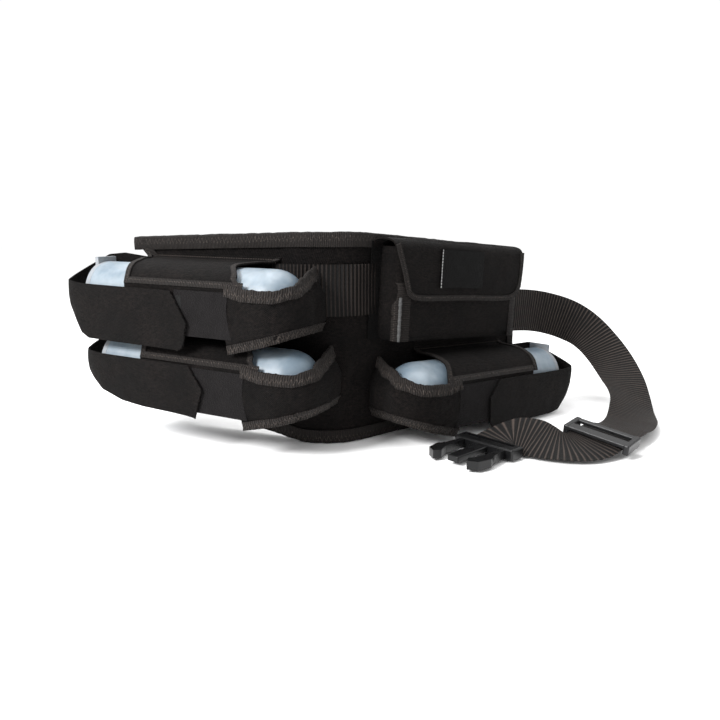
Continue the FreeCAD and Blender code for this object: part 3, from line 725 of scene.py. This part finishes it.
# ribbed elastic
def elastic_pt(a, t):
    s = lerp(s_of("L", 64.0), s_of("R", 52.0), a)
    z = lerp(125.0, 173.5, t)
    rib = 0.35 * math.sin(2 * math.pi * (s + 200) / 4.2)
    return BODY(s, 1.6 + rib + 0.6 * math.sin(t * math.pi), z)
el = grid("elastic_ribs", elastic_pt, 330, 14, 1.2, M["elastic"], both=0.5)
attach(el, "belt"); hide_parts("elastic_band")

# ------------------------------------------------------------- pouches
def pouch(name, seed):
    side, du, zc, tilt, wall_u = POUCH[name]
    f = PL(name)
    wu = wall_u - du
    # --- sleeve: over the tube from the seam to the front edge
    sec = Path([(1.2, 38.0), (1.5, 35.0), (7.0, 33.2), (18.0, 32.9), (30.0, 32.4), (42.0, 30.8), (51.0, 27.2), (57.5, 22.2), (62.0, 16.0), (63.6, 12.0)])
    uo = [(0.0, 216.0), (0.2, 208.0), (0.6, 196.0), (1.0, 189.0)]
    ui = [(0.0, 56.0), (0.25, 68.0), (0.6, 76.0), (0.85, 66.0), (1.0, 56.0)]
    if name == "right":
        uo = [(0.0, 208.0), (0.35, 205.0), (0.7, 200.0), (1.0, 196.0)]
        ui = [(0.0, 70.0), (0.3, 69.0), (0.65, 65.0), (1.0, 56.0)]
    def sleeve(a, t):
        v, w, tx, ty = sec.at(t * sec.length)
        u = lerp(sinterp(ui, t), sinterp(uo, t), a)
        # cloth lifts a little at its free ends and sags between
        lift = 0.9 * math.sin(math.pi * clamp(t)) * (1 - math.sin(math.pi * a)) if 0.1 < t < 0.9 else 0
        return f(u, v, w + lift * 0.6)
    sl = grid("sleeve_cloth_" + name, sleeve, 60, 48, 1.3, M["nylon_seam"], both=0.0 if side == "L" else 1.0, wr=0.55, wscale=20.0, seed=seed)
    # --- front and underside of the sleeve
    fr = Path([(63.5, 12.6), (63.6, -10.0), (63.3, -27.0), (60.0, -32.2), (30.0, -32.2), (1.0, -32.0)])
    def front(a, t):
        v, w, tx, ty = fr.at(t * fr.length)
        return f(lerp(58.0, 190.0, a), v, w)
    fo = grid("sleeve_front_" + name, front, 40, 40, 1.2, M["nylon"], both=0.5, wr=0.35, wscale=22.0, seed=seed + .3)
    # --- stitched edge tape along the front edge and both free ends of the sleeve
    def edge(a, t):
        v, w, tx, ty = sec.at(sec.length - 6.0 * t)
        u = lerp(56.0, 189.5, a)
        return f(u, v + 0.9, w + 0.5)
    ed = grid("sleeve_edge_" + name, edge, 120, 5, 1.2, M["bind_plain"], both=0.5, wr=0.35, wscale=6.0, seed=seed + .6, edge_keep=False)
    def endtape(which):
        def P(a, t):
            tt = a
            v, w, tx, ty = sec.at(tt * sec.length)
            u = sinterp(uo if which else ui, tt)
            u += (-5.5 * t + 0.6) if which else (5.5 * t - 0.6)
            nx, ny = -ty, tx
            k = 0.9
            if ny < 0: nx, ny = -nx, -ny
            return f(u, v + nx * k, w + ny * k)
        return grid("sleeve_end%d_%s" % (which, name), P, 60, 4, 1.2, M["bind_plain"], both=0.5, wr=0.3, wscale=6.0, seed=seed + which, edge_keep=False)
    e0, e1 = endtape(0), endtape(1)
    slv = join("sleeve_soft_" + name, [sl, fo, ed, e0, e1])
    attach(slv, "belt"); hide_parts("sleeve_" + name)
    # --- loop panel on the front
    def loop(a, t):
        u0 = 67.0 + 5.0 * math.sin(math.pi * t * 0.8)
        return f(lerp(u0, 130.0, a), 64.7, lerp(-33.0, 9.0, t))
    lp = grid("loop_soft_" + name, loop, 50, 30, 1.3, M["loop"], both=0.5, wr=0.4, wscale=14.0, seed=seed + 2)
    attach(lp, "belt"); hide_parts("loop_panel_" + name)
    # --- end cup
    low = -44.0 if name == "upper_left" else -41.0
    vend = {"upper_left": (12.5, -10.0), "lower_left": (14.5, -17.5), "right": (11.0, 0.8)}[name]
    cp = Path([(74.0, 63.6), (56.0, 64.5), (36.0, 64.2), (24.0, 61.0), (14.0, 53.0), (8.6, 42.0), (8.0, 26.0), (9.4, 8.0), vend])
    # height of the cup's top edge along its path, dipping at the front
    if name == "right":
        topt = [(0.0, 13.5), (0.18, 10.5), (0.4, 11.5), (0.62, 17.0), (0.8, 24.0), (1.0, 31.0)]
    elif name == "upper_left":
        topt = [(0.0, 14.5), (0.16, 11.0), (0.36, 11.0), (0.52, 15.0), (0.68, 21.0), (0.82, 26.5), (1.0, 31.0)]
    else:
        topt = [(0.0, 15.0), (0.16, 12.0), (0.36, 12.0), (0.52, 15.5), (0.68, 21.0), (0.82, 25.0), (1.0, 29.0)]
    def cup_top(a):
        return sinterp(topt, a)
    def cup_low(a):
        x = cp.at(a * cp.length)[0]
        return low + (66 - x) * 0.265 if x > 36 else low + 8 + (36 - x) * 0.32
    def cup_pt(a, w, out=0.0):
        x, y, tx, ty = cp.at(a * cp.length)
        nx, ny = -ty, tx          # outward of the cup
        cx, cy = 40.0, 30.0
        if (x - cx) * nx + (y - cy) * ny < 0:
            nx, ny = -nx, -ny
        t = clamp((w - cup_low(a)) / (cup_top(a) - cup_low(a)))
        rnd = smooth((a - 0.34) / 0.3)
        # the wall leans in over the dome towards its top edge
        b = 1.6 * math.sin(math.pi * t ** 0.8) * (0.35 + 0.65 * rnd) - 3.0 * (1 - smooth(t / 0.22))
        b -= (7.5 * rnd + 1.0) * smooth((w - 2.0) / 26.0)
        b += 0.8 * math.sin(a * 29.0 + 3.0 * t) * math.sin(math.pi * t) * rnd
        return f(x + nx * (b + out), y + ny * (b + out), w)
    def cup(a, t):
        return cup_pt(a, lerp(cup_low(a), cup_top(a), t))
    cu = grid("cup_cloth_" + name, cup, 84, 36, 1.4, M["nylon"], both=0.5, wr=0.9, wscale=17.0, seed=seed + 3)
    # floor of the cup
    def cfloor(a, t):
        x, y, tx, ty = cp.at(a * cp.length)
        p = cup_pt(a, max(cup_low(a) + 1.0, -31.8 if a < 0.4 else cup_low(a) + 1.0))
        uc = lerp(74.0, 20.0, clamp(a * 1.3))
        c = f(uc, 3.0, -31.8 if uc > 36 else -31.8 + (36 - uc) * 0.29)
        return p.lerp(c, t)
    cf = grid("cup_floor_" + name, cfloor, 60, 12, 1.2, M["nylon_in"], both=0.5)
    cupo = join("cup_soft_" + name, [cu, cf])
    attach(cupo, "belt"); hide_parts("end_cup_" + name)
    def cbind(a, t):
        # outer leg, over the edge
        tot = 12.5
        x = t * tot
        w = cup_top(a)
        if x < 9.0:
            return cup_pt(a, w - 9.0 + x, 1.35 + 0.3 * math.sin(math.pi * x / 9.0) + 0.35 * math.sin(a * 90.0) * (1 - x / 9.0))
        ang = (x - 9.0) / 3.5 * math.pi
        return cup_pt(a, w, 1.35 * math.cos(ang)) + Vector((0, 0, 1.0 * math.sin(ang) + 0.2))
    cb = grid("cup_tape_" + name, cbind, 150, 14, 1.2, M["cupbind"], both=0.5, wr=0.9, wscale=5.0, seed=seed + 4, edge_keep=False)
    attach(cb, "belt"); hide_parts("cup_binding_" + name)
    def chem(a, t):
        w = cup_low(a) + lerp(-1.0, 7.5, t)
        return cup_pt(a, max(w, cup_low(a)), 1.1) + Vector((0, 0, min(0, w - cup_low(a))))
    ch = grid("cup_hem_tape_" + name, chem, 150, 8, 1.1, M["cupbind"], both=0.5, wr=1.0, wscale=4.0, seed=seed + 5, edge_keep=False)
    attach(ch, "belt"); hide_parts("cup_hem_" + name)
    # --- closure flap, one strip: tab on the belt, round the lid end, to its tip on the front
    if side == "L":
        root = 206.0 - du
        fp = Path([(root - 28, 1.4), (root + 4, 1.3), (wu - 24, 1.4), (wu - 6, 1.3), (wu - 0.4, 1.6), (wu + 1.5, 3.6), (wu + 1.9, 9.0), (wu + 2.2, 22.0), (wu + 2.4, 34.0), (wu + 2.3, 48.0), (wu + 1.4, 58.0), (wu - 1.0, 64.0), (wu - 8.0, 66.4), (wu - 30, 67.2), (180, 66.9), (150, 66.6), (114, 66.4)], n=300)
    else:
        root = 236.0 - du
        fp = Path([(root - 28, 2.2), (root + 4, 2.2), (wu - 14, 2.4), (wu - 6, 2.4), (wu - 0.4, 2.8), (wu + 1.5, 5.0), (wu + 1.9, 10.0), (wu + 2.2, 22.0), (wu + 2.4, 34.0), (wu + 2.3, 48.0), (wu + 1.4, 58.0), (wu - 1.0, 64.0), (wu - 8.0, 66.4), (wu - 30, 67.2), (180, 66.9), (150, 66.6), (114, 66.4)], n=300)
    # arc lengths of the corners
    def s_at(test):
        for i in range(401):
            s = fp.length * i / 400
            x, y, _, _ = fp.at(s)
            if test(x, y):
                return s
        return fp.length
    s_back = s_at(lambda x, y: y > 6.0)
    s_mid = s_at(lambda x, y: y > 34.0)
    s_front = s_at(lambda x, y: y > 64.0)
    # upper and lower edges of the strip by arc length
    if name == "upper_left":
        tip = [(0, 133.0, 10.0), (0, 115.0, -18.0), (0, 120.0, -40.0), (0, 128.0, -44.0)]
        top_tab = [(0, 30.0), (30, 33.0), (s_back - 20, 37.0), (s_back, 35.0), (s_mid, 24.0), (s_front, 11.5), (s_front + 20, 9.5), (fp.length, 7.5)]
        bot_tab = [(0, -26.0), (s_back, -28.0), (s_mid, -22.0), (s_front, -8.0), (s_front + 7, -20.0), (s_front + 17, -39.0), (s_front + 26, -44.0), (fp.length, -47.5)]
    elif name == "lower_left":
        top_tab = [(0, 30.0), (30, 33.0), (s_back, 34.0), (s_mid, 25.0), (s_front, 14.0), (s_front + 20, 12.0), (fp.length, 11.0)]
        bot_tab = [(0, -26.0), (s_back, -24.0), (s_mid, -16.0), (s_front, -4.0), (s_front + 8, -13.0), (s_front + 20, -24.0), (s_front + 45, -32.0), (s_front + 70, -35.0), (fp.length, -39.0)]
    else:
        top_tab = [(0, 28.0), (30, 30.0), (s_back, 31.0), (s_mid, 22.0), (s_front, 11.0), (s_front + 20, 9.5), (fp.length, 9.0)]
        bot_tab = [(0, -26.0), (s_back, -26.0), (s_mid, -18.0), (s_front, -4.0), (s_front + 12, -22.0), (s_front + 26, -36.0), (s_front + 40, -38.5), (fp.length, -41.0)]
    # where the tip ends, by height
    if name == "upper_left":
        tipu = [(-47.5, 128.0), (-43.0, 120.0), (-21.0, 115.0), (7.5, 133.0)]
    elif name == "lower_left":
        tipu = [(-39.0, 124.0), (-10.0, 115.0), (11.0, 131.0)]
    else:
        tipu = [(-41.0, 124.0), (-34.0, 117.0), (-8.0, 115.0), (9.0, 130.0)]
    def flap_pt(s, t):
        # squeeze the strip so that its end follows the tip line
        top = interp(top_tab, s); bot = interp(bot_tab, s)
        w = lerp(bot, top, t)
        if s > s_front + 60:
            k = (s - s_front - 60) / (fp.length - s_front - 60)
            end = interp(tipu, w) - 114.0
            s = lerp(s, fp.length - end, smooth(k)) if k > 0 else s
            s = min(s, fp.length - end * k)
        x, y, tx, ty = fp.at(s)
        nx, ny = ty, -tx
        # the free strip bows out a little between its edges
        bow = 0.0
        if s > s_back:
            bow = 1.0 * math.sin(math.pi * clamp(t)) * smooth((s - s_back) / 30)
        if y > 60:
            return f(x, y + bow * 0.8 + 0.5, w)
        return f(x + (bow if s > s_back else 0), y, w)
    def fA(a, t):
        return flap_pt(lerp(0.0, s_mid, a), t)
    def fB(a, t):
        return flap_pt(lerp(s_mid, fp.length, a), t)
    th = 1.5
    fa = grid("flap_a_" + name, fA, 90, 26, th, M["nylon"], both=0.5, wr=0.45, wscale=22.0, seed=seed + 6)
    fb = grid("flap_b_" + name, fB, 120, 30, th, M["nylon"], both=0.5, wr=0.45, wscale=22.0, seed=seed + 6)
    def at(s, w=0.0):
        x, y, _, _ = fp.at(s)
        return tuple(f(x, y, w) * 0.001)
    at(s_back - 9)
    at(s_back - 2.5)
    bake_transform(fa)
    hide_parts("flap_tab_" + name, "flap_end_" + name)
    at(s_front - 10)
    at(s_front + 10)
    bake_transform(fb)
    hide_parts("flap_front_" + name)
    # --- tube and lid keep their shape and take a frosted finish
    for node, mt in (("tube_" + name, M["pod"]), ("lid_" + name, M["lid"])):
        o = NODES[node]
        o.data.materials.clear()
        o.data.materials.append(mt)

pouch("upper_left", 11.0)
pouch("lower_left", 23.0)
pouch("right", 37.0)

# ---------------------------------------------------------- gear pouch
G0, G1, GD, GB, GTT = 57.0, 235.0, 28.0, -48.0, 44.0
gp = Path([(G0, 2.0), (G0 + 0.2, 12.0), (G0 + 0.6, 22.0), (G0 + 2.5, 27.0), (G0 + 8.0, 29.0), (100.0, 29.8), (146.0, 30.0), (192.0, 29.8), (G1 - 8.0, 29.0), (G1 - 2.5, 27.0), (G1 - 0.6, 22.0), (G1 - 0.2, 12.0), (G1, 2.0)], n=240)
def gear(a, t):
    x, y, tx, ty = gp.at(a * gp.length)
    w = lerp(GB, GTT - 2.0, t)
    nx, ny = ty, -tx
    if (x - 146) * nx + (y - 14) * ny < 0:
        nx, ny = -nx, -ny
    b = 1.2 * math.sin(math.pi * t) - 2.4 * (1 - smooth(t / 0.07))
    return GL(x + nx * b, y + ny * b - 1.4, w)
g1 = grid("gear_cloth", gear, 150, 44, 1.5, M["nylon"], both=0.5, wr=0.6, wscale=30.0, seed=51)
def gfloor(a, t):
    return GL(lerp(G0 + 1.5, G1 - 1.5, a), lerp(2.0, 26.6, t), GB + 0.4)
g2 = grid("gear_floor", gfloor, 40, 8, 1.4, M["nylon_in"], both=0.5)
gear_o = join("gear_soft", [g1, g2])
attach(gear_o, "belt"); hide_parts("gear_pouch")
def gback(a, t):
    return GL(lerp(G0 - 14.0, G1, a), 1.7, lerp(GB, GTT + 2, t))
gb_ = grid("gear_back_soft", gback, 60, 30, 1.0, M["nylon_in"], both=0.5)
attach(gb_, "belt"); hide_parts("gear_back")
def vtape(name, node, pf, n, seed, mat="bind_plain"):
    o = grid(name, pf, n, 6, 1.2, M[mat], both=0.5, wr=0.5, wscale=5.0, seed=seed, edge_keep=False)
    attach(o, "belt"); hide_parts(node)
    return o
def edge_l(a, t):
    w = lerp(GB, 8.0, a)
    x, y, tx, ty = gp.at(lerp(18.0, 38.0, t))
    return GL(x - 1.2, y + 0.4, w)
vtape("gear_edge_left_tape", "gear_edge_left", edge_l, 90, 61)
def edge_r(a, t):
    w = lerp(GB, 8.0, a)
    x, y, tx, ty = gp.at(gp.length - lerp(18.0, 38.0, t))
    return GL(x + 1.2, y + 0.4, w)
vtape("gear_edge_right_tape", "gear_edge_right", edge_r, 90, 62)
def pip(a, t):
    w = lerp(GB, -6.0, a)
    return GL(G0 + 0.6 + 1.2 * math.cos(t * math.pi * 2), GD + 2.1 + 0.8 * math.sin(t * math.pi * 2), w)
vtape("gear_piping_cord", "gear_piping", pip, 90, 63, "piping")
def gloop(a, t):
    return GL(lerp(90.0, 205.0, a), GD + 1.9, lerp(-2.0, 30.0, t))
gl_ = grid("gear_loop_soft", gloop, 60, 20, 0.8, M["loop"], both=0.5)
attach(gl_, "belt"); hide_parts("gear_loop_tape")

fs_ = Path([(1.6, 40.0), (1.8, 44.0), (3.4, 47.2), (8.0, 48.6), (16.0, 49.0), (24.0, 48.0), (29.0, 45.8), (31.6, 42.0), (32.4, 36.0), (32.6, 20.0), (32.4, 0.0), (32.2, -8.0)], n=200)
# left and right ends of the flap by arc length from its root
def fl_w(s):
    return fs_.at(s)[1]
def gflap(s, a):
    v, w, tx, ty = fs_.at(s)
    if v < 27:
        u0, u1 = 45.0 + (0 if v > 4 else 0.0), 236.0
    else:
        u0 = interp([(-8.0, 78.0), (-6.5, 70.0), (-3.0, 64.5), (3.0, 61.5), (14.0, 58.0), (44.0, 46.0)], w)
        u1 = interp([(-8.0, 214.0), (-5.0, 225.0), (0.0, 231.0), (10.0, 235.0), (44.0, 236.0)], w)
    u = lerp(u0, u1, a)
    puff = 1.3 * math.sin(math.pi * a) * smooth((s - 6) / 20)
    return GL(u, v + (puff if v > 20 else 0) * 0.8, w + (puff if v <= 24 else 0) * 0.8)
sm = None
for i in range(400):
    s = fs_.length * i / 400
    if fs_.at(s)[0] > 15.0:
        sm = s
        break
def gA(a, t):
    return gflap(lerp(0, sm, t), a)
def gB(a, t):
    return gflap(lerp(sm, fs_.length, t), a)
ga = grid("gear_flap_a", gA, 110, 16, 1.5, M["nylon"], both=0.5, wr=0.5, wscale=26.0, seed=71)
gb2 = grid("gear_flap_b", gB, 110, 46, 1.5, M["nylon"], both=0.5, wr=0.5, wscale=26.0, seed=71)
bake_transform(ga)
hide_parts("gear_flap_top")
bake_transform(gb2)
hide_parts("gear_flap_front")
# bound edge of the flap
def gtape(a, t):
    # runs down the left side, along the bottom, up the right side
    pts = []
    k = 0.0
    A = Path([(46.0, 43.0), (58.0, 14.0), (61.5, 3.0), (64.5, -3.0), (70.0, -6.5), (78.0, -8.0), (146.0, -8.0), (214.0, -8.0), (225.0, -5.0), (231.0, 0.0), (235.0, 10.0), (236.0, 43.0)], n=240)
    u, w, tx, ty = A.at(a * A.length)
    nx, ny = -ty, tx
    puff = 1.04 * math.sin(math.pi * clamp((u - 50) / 186.0))
    return GL(u + nx * (5.5 * t - 0.6), 33.4 + puff, w + ny * (5.5 * t - 0.6))
gt_ = grid("gear_flap_tape", gtape, 220, 5, 1.1, M["bind_plain"], both=0.5, wr=0.4, wscale=5.0, seed=81, edge_keep=False)
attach(gt_, "gear_flap_front")
# bare label patch
def lab(a, t):
    puff = 1.04 * math.sin(math.pi * clamp((lerp(105, 168, t) - 50) / 186.0))
    return GL(lerp(105.0, 168.0, t), 34.2 + puff, lerp(4.0, 41.0, a))
lb = grid("label_soft", lab, 20, 30, 0.9, M["label"], both=0.5, wr=0.2, wscale=20.0, seed=91)
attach(lb, "gear_flap_front"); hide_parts("label_patch")

# plain CAD pieces that stay, with better finishes
def give(node, mt):
    o = NODES[node]
    o.data.materials.clear()
    o.data.materials.append(mt)
for n in ("slide_adjuster", "buckle_male", "buckle_prong_a", "buckle_prong_b", "buckle_female"):
    give(n, M["plastic"])
give("slide_adjuster", M["satin"])
give("buckle_tab", M["nylon_in"])
for n in ("gear_hook_tape", "hook_patch_upper_left", "hook_patch_lower_left", "hook_patch_right"):
    give(n, M["hook"])

# ------------------------------------------------------- floor and light
fm, nt, b = new_mat("floor_pale")
oc = obj_coord(nt)
nn = noise_(nt, oc, 3.0, 3.0)
nt.links.new(mixc(nt, nn, (0.975, 0.975, 0.975), (0.99, 0.99, 0.99)), b.inputs["Base Color"])
b.inputs["Roughness"].default_value = 0.9
b.inputs["Specular IOR Level"].default_value = 0.1
fl = mesh("floor", [(-6, -4, 0), (6, -4, 0), (6, 8, 0), (-6, 8, 0)], [[0, 1, 2, 3]], [[(0, 0)] * 4], fm, smooth_=False)
world = bpy.data.worlds.new("world")
bpy.context.scene.world = world
world.use_nodes = True
world.node_tree.nodes["Background"].inputs[0].default_value = (1.0, 1.0, 1.0, 1)
world.node_tree.nodes["Background"].inputs[1].default_value = 1.03
def area(name, loc, target, size, power, col=(1, 1, 1)):
    d = bpy.data.lights.new(name, "AREA")
    d.shape = "RECTANGLE"
    d.size, d.size_y = size
    d.energy = power
    d.color = col
    o = bpy.data.objects.new(name, d)
    o.location = loc
    o.rotation_euler = (Vector(target) - Vector(loc)).to_track_quat("-Z", "Y").to_euler()
    bpy.context.scene.collection.objects.link(o)
area("key", (-1.25, -1.0, 1.15), (-0.05, 0, 0.1), (0.55, 0.55), 56.0)
area("top", (-0.2, 0.25, 1.6), (0, 0, 0.1), (0.9, 0.6), 14.0)
bpy.context.scene.view_settings.view_transform = "Standard"
